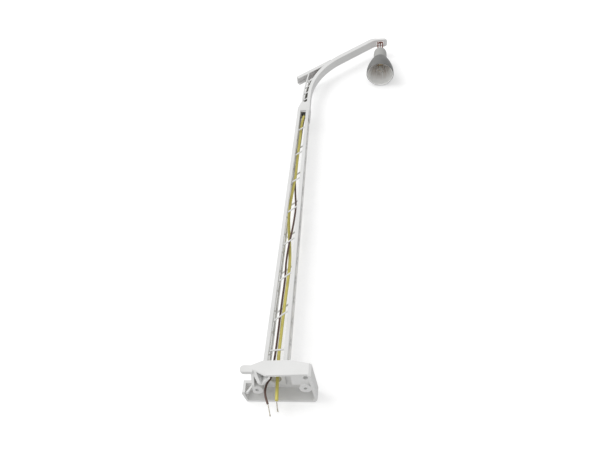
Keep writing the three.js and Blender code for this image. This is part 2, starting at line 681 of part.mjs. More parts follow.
function buildHanger() {
  const reach = ARM_HALF - ARM_WALL - GAP;
  const pin = cylinder(PIN_RADIUS, -reach, reach, 0, 0, 16).rotateX(Math.PI / 2).translate(LAMP_X, 0, PIN_Z);
  add("hanger_pin", pin, STEEL);
  const eye = PIN_RADIUS + HANGER_WIRE + 0.08;
  const ring = new THREE.TorusGeometry(eye, HANGER_WIRE, 8, 20)
    .rotateX(Math.PI / 2)
    .translate(LAMP_X, 0, PIN_Z);
  const stem = cylinder(HANGER_WIRE, CAP_FLOOR - 0.35, PIN_Z - eye + 0.02, LAMP_X, 0, 8);
  const foot = cylinder(0.7, CAP_FLOOR - 0.65, CAP_FLOOR - 0.25, LAMP_X, 0, 12);
  add("hanger_wire", toGeometry(solid(ring).add(solid(stem)).add(solid(foot))), COPPER);
}

function buildNeckLeads() {
  const top = ARM_LEVEL + 0.4;
  for (const [name, side] of [["neck_lead_left", -1], ["neck_lead_right", 1]]) {
    const x = LAMP_X + side * NECK_SPREAD;
    const low = CAP_FLOOR - 0.5;
    const route = [[x, 0, top], [x + side * 0.06, 0, 189.5], [x, 0, 187.4], [x - side * 0.05, 0, low]];
    add(name, wire(route, LEAD_RADIUS, 10), COPPER);
  }
}

function buildCap() {
  const wall = CAP_RADIUS - 0.4;
  const skirt = CAP_RADIUS - 0.75;
  const outer = [
    [0, CAP_TOP],
    [1.2, CAP_TOP],
    [1.95, CAP_TOP - 0.25],
    [2.45, CAP_TOP - 0.7],
    [2.78, CAP_TOP - 1.5],
    [2.92, CAP_TOP - 2.6],
    [CAP_RADIUS, CAP_TOP - 3.7],
    [CAP_RADIUS, SHADE_TOP + GAP],
    [wall, SHADE_TOP + GAP],
    [wall, SHADE_TOP - 1.8],
    [skirt, SHADE_TOP - 1.8],
    [skirt, CAP_TOP - 2.0],
    [1.6, CAP_FLOOR],
    [0, CAP_FLOOR],
  ];
  let cap = solid(turned(outer, LAMP_X));
  const drill = (radius, offset) => {
    cap = cap.subtract(solid(cylinder(radius, CAP_TOP - 2, CAP_TOP + 1, LAMP_X + offset, 0, 12)));
  };
  drill(HANGER_WIRE + GAP, 0);
  for (const side of [-1, 1]) drill(LEAD_RADIUS + 0.1, side * NECK_SPREAD);
  add("lamp_cap", toGeometry(cap), CAP_GREY);
}

const SOCKET_TOP = CAP_TOP - 2.1;
const SLEEVE_TOP = 180.6;
const SLEEVE_LOW = 176.3;

function buildSocket() {
  add("socket_insulator", cylinder(2.12, SLEEVE_TOP + GAP, SOCKET_TOP, LAMP_X, 0, 24), BLACK);
  const [inner, outer] = [1.8, 2.1];
  const ends = [[inner, SLEEVE_TOP], [outer, SLEEVE_TOP], [outer, SLEEVE_LOW], [inner, SLEEVE_LOW]];
  add("contact_sleeve", turned([...ends, ends[0]], LAMP_X, 24), BRASS);
  add("centre_contact", cylinder(0.75, SLEEVE_TOP - 0.45, SLEEVE_TOP - GAP, LAMP_X, 0, 12), BRASS);
}

// The deep shade flares like a cone from its neck on the cap, and ends in a rolled rim.
const shadeOuter = [
  [CAP_RADIUS + 0.02, SHADE_TOP],
  [3.35, SHADE_TOP - 0.75],
  [4.0, SHADE_TOP - 2.1],
  [4.6, SHADE_TOP - 3.65],
  [5.12, SHADE_TOP - 5.25],
  [5.55, SHADE_TOP - 6.85],
  [5.88, SHADE_TOP - 8.5],
  [RIM_RADIUS, SHADE_TOP - 9.9],
];

function buildShade() {
  const inner = shadeOuter.slice(2).map(([r, z]) => [r - SHADE_WALL, z - 0.12]).reverse();
  const profile = [
    ...shadeOuter,
    [RIM_RADIUS, RIM_Z + 0.25],
    [RIM_RADIUS - 0.15, RIM_Z],
    [RIM_RADIUS - 0.35, RIM_Z],
    [RIM_RADIUS - 0.45, RIM_Z + 0.3],
    ...inner,
    [3.0, SHADE_TOP - 1.2],
    [CAP_RADIUS - 0.35, SHADE_TOP - 1.2],
    [CAP_RADIUS - 0.35, SHADE_TOP],
    shadeOuter[0],
  ];
  add("lamp_shade", turned(profile, LAMP_X, 40), SHADE_GREY);
}

const BULB_TIP = 169.4;
const BULB_NECK = 176.2; // where the glass meets the base

function buildBulb() {
  add("bulb_base", cylinder(1.68, BULB_NECK + 0.1, SLEEVE_TOP - 0.5, LAMP_X, 0, 20), STEEL);
  const outside = [
    [1.55, BULB_NECK],
    [1.6, BULB_NECK - 0.9],
    [1.85, BULB_NECK - 2.3],
    [2.0, BULB_NECK - 3.7],
    [1.9, BULB_TIP + 1.8],
    [1.35, BULB_TIP + 0.5],
    [0, BULB_TIP],
  ];
  const inside = [
    [0, BULB_TIP + 0.2],
    [1.2, BULB_TIP + 0.65],
    [1.7, BULB_TIP + 1.85],
    [1.8, BULB_NECK - 3.7],
    [1.65, BULB_NECK - 2.35],
    [1.4, BULB_NECK - 1.0],
    [1.3, BULB_NECK],
    [1.55, BULB_NECK],
  ];
  add("bulb_glass", turned([...outside, ...inside], LAMP_X, 24), GLASS);
  add("bulb_bead", cylinder(0.7, 174.3, 174.9, LAMP_X, 0, 10), GLASS);
  for (const [name, side] of [["filament_post_left", -1], ["filament_post_right", 1]]) {
    const x = LAMP_X + side * 0.9;
    const route = [[x + side * 0.1, 0, BULB_NECK - 0.05], [x, 0, 174.6], [x, 0, 171.4]];
    add(name, wire(route, 0.14, 4, 6), COPPER);
  }
  const coil = [[-0.7, 171.3], [-0.3, 171.7], [0.3, 171.7], [0.7, 171.3]].map(([x, z]) => [LAMP_X + x, 0, z]);
  add("filament", wire(coil, 0.07, 8, 6), STEEL);
}

buildFoot();
buildPlug();
buildAngles();
buildLadders();
buildHeadBlock();
buildArm();
buildStrut();
buildUpperLegs();
buildUpperLadders();
buildWires();
buildLeads();
buildHanger();
buildNeckLeads();
buildCap();
buildSocket();
buildShade();
buildBulb();

export default root;
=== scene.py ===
# The looks of a model-railway yard light: a lattice mast on a hollow foot, with a bent arm and a lamp.
# Metres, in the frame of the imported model: +Z up the mast, +X to the lamp, -Y the front.
import json
import math
import random

import bmesh
import bpy
from mathutils import Matrix, Vector


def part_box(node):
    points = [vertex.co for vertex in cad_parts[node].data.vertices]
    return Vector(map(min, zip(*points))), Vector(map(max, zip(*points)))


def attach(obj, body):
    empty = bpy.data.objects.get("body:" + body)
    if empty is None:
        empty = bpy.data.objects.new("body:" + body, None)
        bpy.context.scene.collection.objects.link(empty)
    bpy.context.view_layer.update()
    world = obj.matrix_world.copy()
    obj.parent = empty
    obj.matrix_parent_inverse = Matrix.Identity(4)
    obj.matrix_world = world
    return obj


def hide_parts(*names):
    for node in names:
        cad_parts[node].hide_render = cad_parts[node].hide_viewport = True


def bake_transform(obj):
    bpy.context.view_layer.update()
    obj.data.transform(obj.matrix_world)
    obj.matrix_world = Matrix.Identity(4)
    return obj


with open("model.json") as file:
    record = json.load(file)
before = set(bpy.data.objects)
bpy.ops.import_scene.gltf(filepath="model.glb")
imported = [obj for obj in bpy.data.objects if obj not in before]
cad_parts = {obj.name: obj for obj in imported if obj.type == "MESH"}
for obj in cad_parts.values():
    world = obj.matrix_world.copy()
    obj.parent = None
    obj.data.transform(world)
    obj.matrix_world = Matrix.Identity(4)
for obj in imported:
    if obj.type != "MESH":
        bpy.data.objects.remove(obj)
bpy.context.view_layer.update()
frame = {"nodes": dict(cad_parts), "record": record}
MM = 0.001


def mm(*point):
    return Vector([v * MM for v in point])


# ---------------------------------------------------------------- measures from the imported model
SHADE_LOW, SHADE_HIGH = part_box("lamp_shade")
SHADE_HEIGHT = SHADE_HIGH.z - SHADE_LOW.z
LAMP_X = (SHADE_LOW.x + SHADE_HIGH.x) / 2
LAMP_MM = LAMP_X / MM
# Heights in the shade where the painted shade in the inside streaks starts and where it is full.
PAINTED_SHADE_START_Z = SHADE_LOW.z + 0.25 * SHADE_HEIGHT
PAINTED_SHADE_FULL_Z = SHADE_LOW.z + 0.7 * SHADE_HEIGHT
PIN_LOW, PIN_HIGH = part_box("hanger_pin")
PIN_Z = (PIN_LOW.z + PIN_HIGH.z) / 2 / MM
BODY_OF = {node: body for body, nodes in frame["record"]["behaviour"]["bodies"].items() for node in nodes}


# ---------------------------------------------------------------- camera
LENS = 51.0
SENSOR = 36.0
CAMERA_PLACE = mm(38.28, -224.10, -148.62)
CAMERA_RIGHT = Vector((0.9938, 0.0869, 0.0700))
CAMERA_FORWARD = Vector((-0.1111, 0.7071, 0.6984))


def make_camera():
    """Below and in front of the lamp, looking up at it."""
    data = bpy.data.cameras.new("camera")
    data.lens = LENS
    data.sensor_width = SENSOR
    data.clip_start = 0.005
    data.clip_end = 20.0
    camera = bpy.data.objects.new("camera", data)
    bpy.context.scene.collection.objects.link(camera)
    back = -CAMERA_FORWARD.normalized()
    right = (CAMERA_RIGHT - CAMERA_RIGHT.dot(back) * back).normalized()
    up = back.cross(right)
    turn = Matrix((right, up, back)).transposed().to_4x4()
    camera.matrix_world = Matrix.Translation(CAMERA_PLACE) @ turn
    bpy.context.scene.camera = camera


# ---------------------------------------------------------------- node helpers for materials
class Shader:
    """One material's node tree, with short calls for the nodes that every material here uses."""

    def __init__(self, name):
        self.material = bpy.data.materials.new(name)
        self.material.use_nodes = True
        self.tree = self.material.node_tree
        self.tree.nodes.clear()
        self.bsdf = self.node("ShaderNodeBsdfPrincipled")
        self.output = self.node("ShaderNodeOutputMaterial")
        self.link(self.bsdf.outputs[0], self.output.inputs[0])
        self.coordinates = self.node("ShaderNodeTexCoord").outputs["Object"]

    def node(self, kind, **settings):
        made = self.tree.nodes.new(kind)
        for key, value in settings.items():
            setattr(made, key, value)
        return made

    def link(self, a, b):
        self.tree.links.new(a, b)

    def feed(self, socket, value):
        """Links another node's output to a socket, or sets the socket to a colour or a number."""
        if hasattr(value, "is_linked"):
            self.link(value, socket)
        elif isinstance(value, tuple):
            socket.default_value = (*value, 1.0)
        else:
            socket.default_value = value

    def maths(self, operation, a, b):
        made = self.node("ShaderNodeMath", operation=operation)
        for socket, value in zip(made.inputs, (a, b)):
            self.feed(socket, value)
        return made.outputs[0]

    def scaled(self, x, y, z):
        mapping = self.node("ShaderNodeMapping")
        mapping.inputs["Scale"].default_value = (x, y, z)
        self.link(self.coordinates, mapping.inputs["Vector"])
        return mapping.outputs[0]

    def noise(self, scale, detail=4.0, roughness=0.55, vector=None):
        made = self.node("ShaderNodeTexNoise")
        made.inputs["Scale"].default_value = scale
        made.inputs["Detail"].default_value = detail
        made.inputs["Roughness"].default_value = roughness
        self.link(vector or self.coordinates, made.inputs["Vector"])
        return made.outputs["Fac"]

    def ramp(self, value, stops):
        made = self.node("ShaderNodeValToRGB")
        elements = made.color_ramp.elements
        while len(elements) > len(stops):
            elements.remove(elements[-1])
        while len(elements) < len(stops):
            elements.new(1.0)
        for element, (place, colour) in zip(elements, stops):
            element.position = place
            element.color = (*colour, 1.0)
        self.link(value, made.inputs["Fac"])
        return made.outputs["Color"]

    def span(self, value, low, high, start=0.0, end=1.0):
        """Turns a value that runs from start to end into one that runs from low to high."""
        made = self.node("ShaderNodeMapRange")
        made.inputs["From Min"].default_value = start
        made.inputs["From Max"].default_value = end
        made.inputs["To Min"].default_value = low
        made.inputs["To Max"].default_value = high
        self.link(value, made.inputs["Value"])
        return made.outputs["Result"]

    def mixed(self, factor, a, b):
        made = self.node("ShaderNodeMix", data_type="RGBA")
        for socket, value in (("Factor", factor), ("A", a), ("B", b)):
            self.feed(made.inputs[socket], value)
        return made.outputs["Result"]

    def bump(self, height, strength, distance, under=None):
        made = self.node("ShaderNodeBump")
        made.inputs["Strength"].default_value = strength
        made.inputs["Distance"].default_value = distance
        self.link(height, made.inputs["Height"])
        if under:
            self.link(under, made.inputs["Normal"])
        return made.outputs["Normal"]

    def set(self, **values):
        """Feeds the Principled shader: Base_Color is its socket Base Color, and so on."""
        for key, value in values.items():
            self.feed(self.bsdf.inputs[key.replace("_", " ")], value)
        return self


# ---------------------------------------------------------------- materials
# Noise scales are in features per metre. Bump distances are in metres.
FINE_BUMP = 0.03 * MM
COARSE_BUMP = 0.06 * MM
DRAWN_BUMP = 0.02 * MM
GLASS_BUMP = 0.04 * MM
BLACK = (0.0, 0.0, 0.0)
WHITE = (1.0, 1.0, 1.0)
SPECK = (0.7, 0.7, 0.7)
THIN_DUST = (0.35, 0.35, 0.35)
DUST_COLOUR = (0.75, 0.74, 0.7)
STREAKS_ROUND = 14.0
STREAKS_DOWN = 90.0
DRAWN_ACROSS = 2700.0
DRAWN_ALONG = 225.0


def moulded_plastic(name, light, dark, rough_low, rough_high):
    """Injection-moulded plastic: slow cloudy colour, a fine grain and small scuffs in the gloss."""
    s = Shader(name)
    cloud = s.noise(scale=55.0, detail=3.0)
    colour = s.ramp(cloud, ((0.3, dark), (0.7, light)))
    flow = s.noise(scale=1.0, detail=5.0, roughness=0.6, vector=s.scaled(420.0, 420.0, 60.0))
    colour = s.mixed(s.span(flow, 0.0, 0.35), colour, dark)
    scuff = s.noise(scale=900.0, detail=6.0, roughness=0.7)
    grain = s.noise(scale=1800.0, detail=3.0)
    normal = s.bump(grain, strength=0.25, distance=FINE_BUMP)
    normal = s.bump(flow, strength=0.2, distance=COARSE_BUMP, under=normal)
    return s.set(Base_Color=colour, Roughness=s.span(scuff, rough_low, rough_high), Normal=normal).material


def painted_metal(name, light, dark):
    """Sprayed paint on thin sheet: orange peel, small specks and rubbed patches."""
    s = Shader(name)
    colour = s.ramp(s.noise(scale=160.0, detail=4.0), ((0.35, dark), (0.65, light)))
    speck = s.ramp(s.noise(scale=2600.0, detail=2.0), ((0.66, BLACK), (0.74, SPECK)))
    colour = s.mixed(speck, colour, dark)
    peel = s.noise(scale=1500.0, detail=2.0)
    rubbed = s.noise(scale=700.0, detail=4.0)
    normal = s.bump(peel, strength=0.3, distance=FINE_BUMP)
    s.set(Base_Color=colour, Roughness=s.span(rubbed, 0.28, 0.5), Normal=normal)
    return s.material


def round_the_lamp(s):
    """Coordinates that run round the lamp's axis, so that a texture can make streaks down the shade."""
    apart = s.node("ShaderNodeSeparateXYZ")
    s.link(s.coordinates, apart.inputs[0])
    across = s.maths("SUBTRACT", apart.outputs["X"], LAMP_X)
    angle = s.maths("ARCTAN2", apart.outputs["Y"], across)
    joined = s.node("ShaderNodeCombineXYZ")
    s.link(s.maths("MULTIPLY", angle, STREAKS_ROUND), joined.inputs["X"])
    s.link(s.maths("MULTIPLY", apart.outputs["Z"], STREAKS_DOWN), joined.inputs["Y"])
    return joined.outputs[0], apart.outputs["Z"]


def reflector_with_painted_shade(name, light, dark):
    """The shade's inside: pale paint with dark streaks down from the neck, which are painted shade: darkest
    deep in the shade, fading towards the mouth.
    """
    s = Shader(name)
    around, height = round_the_lamp(s)
    streaks = s.noise(scale=1.0, detail=6.0, roughness=0.75, vector=around)
    # Painted shade: the streaks darken more the deeper they lie inside the shade, from none near the mouth
    # to full towards the neck.
    painted_shade_depth = s.span(height, 0.0, 1.0, start=PAINTED_SHADE_START_Z, end=PAINTED_SHADE_FULL_Z)
    painted_shade_streaks = s.ramp(streaks, ((0.42, BLACK), (0.62, WHITE)))
    colour = s.mixed(s.maths("MULTIPLY", painted_shade_streaks, painted_shade_depth), light, dark)
    normal = s.bump(streaks, strength=0.35, distance=COARSE_BUMP)
    return s.set(Base_Color=colour, Roughness=0.42, Normal=normal).material


def metal(name, light, dark, roughness):
    """Bare or lacquered metal with fine drawn lines and slightly uneven colour."""
    s = Shader(name)
    drawn = s.scaled(DRAWN_ACROSS, DRAWN_ACROSS, DRAWN_ALONG)
    lines = s.noise(scale=1.0, detail=5.0, roughness=0.7, vector=drawn)
    colour = s.ramp(s.noise(scale=500.0, detail=4.0), ((0.35, dark), (0.7, light)))
    normal = s.bump(lines, strength=0.25, distance=DRAWN_BUMP)
    gloss = s.span(lines, roughness * 0.7, roughness * 1.3)
    s.set(Base_Color=colour, Roughness=gloss, Metallic=1.0, Normal=normal)
    return s.material


def insulation(name, light, dark):
    """Extruded wire insulation: soft gloss, faint bands along the wire and a little dust."""
    s = Shader(name)
    bands = s.noise(scale=1.0, detail=3.0, roughness=0.5, vector=s.scaled(300.0, 300.0, 130.0))
    colour = s.ramp(bands, ((0.3, dark), (0.7, light)))
    dust = s.ramp(s.noise(scale=1900.0, detail=3.0), ((0.62, BLACK), (0.75, THIN_DUST)))
    colour = s.mixed(dust, colour, DUST_COLOUR)
    normal = s.bump(s.noise(scale=1200.0, detail=3.0), strength=0.2, distance=FINE_BUMP)
    s.set(Base_Color=colour, Roughness=s.span(bands, 0.32, 0.5), Normal=normal)
    return s.material


def clear_glass(name):
    """Blown glass: nearly clear, with a faint haze and waves."""
    s = Shader(name)
    faint = s.noise(scale=500.0, detail=2.0)
    haze = s.span(faint, 0.0, 0.06)
    s.set(Base_Color=(0.97, 0.98, 0.97), Roughness=haze, IOR=1.5, Transmission_Weight=1.0)
    s.set(Normal=s.bump(faint, strength=0.08, distance=GLASS_BUMP))
    return s.material


MAST_GREY = moulded_plastic("mast_grey", (0.80, 0.80, 0.795), (0.70, 0.70, 0.69), 0.42, 0.6)
CAP_GREY = moulded_plastic("cap_grey", (0.43, 0.43, 0.417), (0.35, 0.35, 0.338), 0.38, 0.55)
SHADE_PAINT = painted_metal("shade_paint", (0.20, 0.20, 0.194), (0.14, 0.14, 0.135))
# The reflector's dark colour is painted shade, laid in streaks deep inside the shade.
REFLECTOR = reflector_with_painted_shade("reflector_painted_shade", (0.96, 0.96, 0.945), (0.50, 0.41, 0.34))
COPPER = metal("enamelled_copper", (0.40, 0.15, 0.09), (0.22, 0.07, 0.045), 0.35)
TINNED = metal("tinned_strands", (0.80, 0.77, 0.70), (0.62, 0.58, 0.50), 0.35)
BRASS = metal("drawn_brass", (0.72, 0.53, 0.25), (0.50, 0.35, 0.15), 0.32)
STEEL = metal("drawn_steel", (0.70, 0.70, 0.69), (0.48, 0.48, 0.47), 0.3)
YELLOW = insulation("yellow_insulation", (0.72, 0.65, 0.17), (0.60, 0.52, 0.12))
BROWN = insulation("brown_insulation", (0.13, 0.07, 0.055), (0.08, 0.042, 0.033))
SLEEVE_BLACK = insulation("sleeve_black", (0.11, 0.108, 0.085), (0.07, 0.068, 0.052))
PHENOLIC = moulded_plastic("phenolic", (0.035, 0.028, 0.024), (0.02, 0.016, 0.014), 0.4, 0.6)
GLASS = clear_glass("clear_glass")


# ---------------------------------------------------------------- mesh helpers
MERGE_DISTANCE = 2e-7
FLAT_ANGLE = 0.6
EDGE_ANGLE = 28.0
MOULDED_SMOOTH = 35.0
TURNED_SMOOTH = 40.0
WIRE_SMOOTH = 50.0
DRILL_SIDES = 24
TINY = 1e-9


def place(name, mesh, materials):
    """A new object for a mesh, with its materials."""
    piece = bpy.data.objects.new(name, mesh)
    bpy.context.scene.collection.objects.link(piece)
    for material in materials if isinstance(materials, (list, tuple)) else [materials]:
        mesh.materials.append(material)
    return piece


def settle(piece, node):
    """The piece stands for a CAD node: it rides on the node's body, and the node is hidden."""
    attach(piece, BODY_OF[node])
    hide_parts(node)
    return piece


def shade_smooth(mesh, angle):
    """Smooth shading, except at edges that turn by more than the angle in degrees."""
    for face in mesh.polygons:
        face.use_smooth = True
    mesh.set_sharp_from_angle(angle=math.radians(angle))


def mesh_from(name, work):
    """Turns a bmesh into a mesh."""
    mesh = bpy.data.meshes.new(name)
    work.to_mesh(mesh)
    work.free()
    return mesh


def softened(piece, width, segments):
    """Rounds every edge of a moulded piece."""
    bevel = piece.modifiers.new("edges", "BEVEL")
    bevel.width = width
    bevel.segments = segments
    bevel.limit_method = "ANGLE"
    bevel.angle_limit = math.radians(EDGE_ANGLE)
    bevel.harden_normals = True
    bevel.use_clamp_overlap = True


def from_node(node, name, material, edge, segments=2):
    """A moulded piece made from a CAD node's own surface, with whole faces and rounded edges."""
    work = bmesh.new()
    work.from_mesh(frame["nodes"][node].data)
    bmesh.ops.remove_doubles(work, verts=work.verts, dist=MERGE_DISTANCE)
    flat = math.radians(FLAT_ANGLE)
    bmesh.ops.dissolve_limit(work, angle_limit=flat, verts=work.verts, edges=work.edges)
    mesh = mesh_from(name, work)
    piece = place(name, mesh, material)
    shade_smooth(mesh, MOULDED_SMOOTH)
    softened(piece, edge * MM, segments)
    settle(piece, node)


def catmull(points, steps):
    """A smooth centripetal route through the points."""
    points = [Vector(p) for p in points]
    whole = [2 * points[0] - points[1], *points, 2 * points[-1] - points[-2]]
    route = []
    for a, b, c, d in zip(whole, whole[1:], whole[2:], whole[3:]):
        t0 = 0.0
        t1 = t0 + max((b - a).length, TINY) ** 0.5
        t2 = t1 + max((c - b).length, TINY) ** 0.5
        t3 = t2 + max((d - c).length, TINY) ** 0.5
        for i in range(steps):
            t = t1 + (t2 - t1) * i / steps
            ab = (t1 - t) / (t1 - t0) * a + (t - t0) / (t1 - t0) * b
            bc = (t2 - t) / (t2 - t1) * b + (t - t1) / (t2 - t1) * c
            cd = (t3 - t) / (t3 - t2) * c + (t - t2) / (t3 - t2) * d
            first = (t2 - t) / (t2 - t0) * ab + (t - t0) / (t2 - t0) * bc
            second = (t3 - t) / (t3 - t1) * bc + (t - t1) / (t3 - t1) * cd
            route.append((t2 - t) / (t2 - t1) * first + (t - t1) / (t2 - t1) * second)
    route.append(points[-1])
    return route


def direction(route, i):
    """Which way the route runs at its point i."""
    return (route[min(i + 1, len(route) - 1)] - route[max(i - 1, 0)]).normalized()


def tube_into(work, route, radii, sides):
    """Adds a closed round tube to a bmesh, with a radius for each point of its route.

    The section is carried along the route without a twist."""
    side = direction(route, 0).orthogonal().normalized()
    rings = []
    for i, (here, radius) in enumerate(zip(route, radii)):
        ahead = direction(route, i)
        side = (side - side.dot(ahead) * ahead).normalized()
        other = ahead.cross(side)
        circle = []
        for k in range(sides):
            a = 2 * math.pi * k / sides
            circle.append(work.verts.new(here + radius * (math.cos(a) * side + math.sin(a) * other)))
        rings.append(circle)
    for a, b in zip(rings, rings[1:]):
        for k in range(sides):
            n = (k + 1) % sides
            work.faces.new((a[k], a[n], b[n], b[k]))
    work.faces.new(list(reversed(rings[0])))
    work.faces.new(rings[-1])


def tube(name, route, radii, material, sides):
    """A closed round tube along the route, with a radius for each point of the route."""
    work = bmesh.new()
    tube_into(work, route, radii, sides)
    mesh = mesh_from(name, work)
    shade_smooth(mesh, WIRE_SMOOTH)
    return place(name, mesh, material)


def wire(name, route, radius, material, sides):
    """A tube of one radius all along."""
    return tube(name, route, [radius] * len(route), material, sides)


def lathe(name, profile, materials, sides=96, second_from=None):
    """A body of revolution round the lamp's axis, from a profile of (radius, z) in metres.

    The profile closes on itself, unless it starts with a radius of nought, which is a point on the axis.
    Rows of faces from second_from on take the second material."""
    work = bmesh.new()
    rings = []
    for radius, z in profile:
        if radius < TINY:
            rings.append([work.verts.new((LAMP_X, 0.0, z))])
            continue
        circle = []
        for k in range(sides):
            a = 2 * math.pi * k / sides
            circle.append(work.verts.new((LAMP_X + radius * math.cos(a), radius * math.sin(a), z)))
        rings.append(circle)
    closed = len(rings[0]) > 1
    following = rings[1:] + rings[:1] if closed else rings[1:]
    for row, (a, b) in enumerate(zip(rings, following)):
        slot = 1 if second_from is not None and row >= second_from else 0
        for k in range(sides):
            n = (k + 1) % sides
            if len(a) == 1:
                face = work.faces.new((a[0], b[n], b[k]))
            elif len(b) == 1:
                face = work.faces.new((a[k], a[n], b[0]))
            else:
                face = work.faces.new((a[k], a[n], b[n], b[k]))
            face.material_index = slot
    bmesh.ops.recalc_face_normals(work, faces=work.faces)
    mesh = mesh_from(name, work)
    shade_smooth(mesh, TURNED_SMOOTH)
    return place(name, mesh, materials)


def in_metres(profile):
    """A (radius, z) profile in millimetres, as metres."""
    return [(r * MM, z * MM) for r, z in profile]


def curved(profile, steps):
    """A (radius, z) profile as a smooth line through its points."""
    return [(max(p.x, 0.0), p.y) for p in catmull([(r, z, 0.0) for r, z in profile], steps)]


def drilled(piece, holes):
    """Cuts round holes: each is (x, y, low z, high z, radius) in metres."""
    work = bmesh.new()
    for x, y, low, high, radius in holes:
        tube_into(work, [Vector((x, y, low)), Vector((x, y, high))], [radius, radius], DRILL_SIDES)
    cutter = bpy.data.objects.new(piece.name + "_drill", mesh_from(piece.name + "_drill", work))
    bpy.context.scene.collection.objects.link(cutter)
    cut = piece.modifiers.new("drill", "BOOLEAN")
    cut.operation = "DIFFERENCE"
    cut.solver = "EXACT"
    cut.object = cutter
    bpy.context.view_layer.update()
    solid = bpy.data.meshes.new_from_object(piece.evaluated_get(bpy.context.evaluated_depsgraph_get()))
    piece.modifiers.remove(cut)
    piece.data = solid
    bpy.data.objects.remove(cutter)
    shade_smooth(solid, TURNED_SMOOTH)
    return piece


# ---------------------------------------------------------------- the two free leads
YELLOW_ROUTE = [
    (0.25, -0.6, 137), (-0.1, -0.56, 134), (-0.4, -0.52, 130), (-0.4, -0.5, 124), (-0.45, -0.6, 117),
    (-0.5, -0.65, 108), (-0.5, -0.7, 99), (-0.95, -0.75, 91), (-1.4, -0.5, 83), (-1.4, 0.25, 76),
    (-0.8, 0.85, 69), (0.0, 0.85, 62), (0.65, 0.35, 54), (0.75, -0.1, 46), (0.55, 0.0, 38),
    (0.4, 0.1, 30), (0.35, 0.05, 22), (0.3, 0.0, 14), (0.6, 0.0, 8), (0.75, 0.05, 3.5),
    (0.95, 0.15, -0.5), (1.1, 0.3, -3.5),
]
BROWN_ROUTE = [
    (0.3, 0.6, 137), (0.1, 0.6, 134), (-0.1, 0.6, 130), (-0.2, 0.6, 124), (-0.4, 0.55, 117),
    (-0.7, 0.4, 108), (-0.7, 0.4, 99), (-0.1, 0.7, 91), (0.7, 0.35, 83), (0.8, -0.5, 76),
    (0.5, -0.95, 69), (-0.1, -0.9, 62), (-0.5, -0.5, 54), (-0.3, -0.3, 46), (-0.45, -0.2, 38),
    (-0.6, -0.2, 30), (-0.65, -0.3, 22), (-0.8, -0.3, 14), (-1.1, -0.2, 8.6), (-1.25, -0.2, 6.0),
    (-1.48, -0.22, 4.3), (-2.15, -0.3, 3.0), (-2.6, -0.3, 1.4), (-2.75, -0.3, -0.5), (-2.35, -0.2, -2.7),
    (-1.5, 0.0, -5.0),
]
YELLOW_BARE = [(1.12, 0.32, -3.85), (1.4, 0.5, -5.6), (1.8, 0.7, -7.6)]
BROWN_BARE = [(-1.38, 0.02, -5.33), (-0.9, 0.15, -7.2), (-0.35, 0.3, -9.4)]
YELLOW_DIAMETER = 1.1
BROWN_DIAMETER = 0.72
STRANDS = 7
STRAND_RADIUS = 0.062
BUNDLE_RADIUS = 0.13
STRAND_TURNS = 1.6
STRAND_SEED = 7
FRAY_FROM = 0.6
LEAST_FRAY = 0.4
SHORTEST_STRAND = 0.93


def bare_end(name, node, points, fray):
    """Tinned strands, twisted round a middle one, that spread a little at the tip."""
    draw = random.Random(STRAND_SEED + len(name))
    route = catmull([mm(*p) for p in points], steps=14)
    work = bmesh.new()
    for strand in range(STRANDS):
        spread = 0.0 if strand == 0 else BUNDLE_RADIUS
        away = draw.uniform(LEAST_FRAY, 1.0) * fray
        line = []
        for i, here in enumerate(route):
            t = i / (len(route) - 1)
            ahead = direction(route, i)
            side = ahead.orthogonal().normalized()
            other = ahead.cross(side)
            a = 2 * math.pi * (strand / (STRANDS - 1) + STRAND_TURNS * t)
            out = (spread + away * max(0.0, t - FRAY_FROM) ** 1.5) * MM
            line.append(here + out * (math.cos(a) * side + math.sin(a) * other))
        keep = int(len(line) * draw.uniform(SHORTEST_STRAND, 1.0))
        tube_into(work, line[:keep], [STRAND_RADIUS * MM] * keep, sides=8)
    mesh = mesh_from(name, work)
    shade_smooth(mesh, WIRE_SMOOTH)
    return settle(place(name, mesh, TINNED), node)


def lead(name, node, points, diameter, material):
    """An insulated lead as a round curve along its route. Its bare end is a piece of its own, made apart
    from it.
    """
    route = catmull([mm(*p) for p in points], steps=8)
    data = bpy.data.curves.new(name, "CURVE")
    data.dimensions = "3D"
    data.bevel_depth = diameter / 2 * MM
    data.bevel_resolution = 5
    data.use_fill_caps = True
    spline = data.splines.new("POLY")
    spline.points.add(len(route) - 1)
    for point, place_at in zip(spline.points, route):
        point.co = (*place_at, 1.0)
    spline.use_smooth = True
    data.materials.append(material)
    piece = bpy.data.objects.new(name, data)
    bpy.context.scene.collection.objects.link(piece)
    settle(piece, node)
    return piece


def make_leads():
    """Both insulated leads, from the mast's head to their bare ends below the foot."""
    yellow_end = bare_end("yellow_strands", "yellow_bare_end", YELLOW_BARE, 0.9)
    brown_end = bare_end("brown_strands", "brown_bare_end", BROWN_BARE, 0.5)
    lead("yellow_lead", "yellow_wire", YELLOW_ROUTE, YELLOW_DIAMETER, YELLOW)
    lead("brown_lead", "brown_wire", BROWN_ROUTE, BROWN_DIAMETER, BROWN)


# ---------------------------------------------------------------- mast, foot and arm
# Each moulded piece: its CAD node, its name and the width in millimetres of its rounded edges.
MOULDED = (
    ("foot_shell", "foot", 0.14),
    ("mast_plug", "plug", 0.1),
    ("head_block", "mast_head", 0.14),
    ("arm_channel", "arm", 0.1),
    ("top_strut", "strut", 0.12),
    ("upper_leg_front", "upper_leg_front_part", 0.09),
    ("upper_leg_rear", "upper_leg_rear_part", 0.09),
    ("upper_ladder_front", "upper_lattice_front", 0.06),
    ("upper_ladder_rear", "upper_lattice_rear", 0.06),
    ("front_ladder", "lattice_front", 0.07),
    ("rear_ladder", "lattice_rear", 0.07),
    ("left_ladder", "lattice_left", 0.07),
    ("right_ladder", "lattice_right", 0.07),
    ("mast_angle_front_left", "angle_front_left", 0.08),
    ("mast_angle_front_right", "angle_front_right", 0.08),
    ("mast_angle_rear_left", "angle_rear_left", 0.08),
    ("mast_angle_rear_right", "angle_rear_right", 0.08),
)


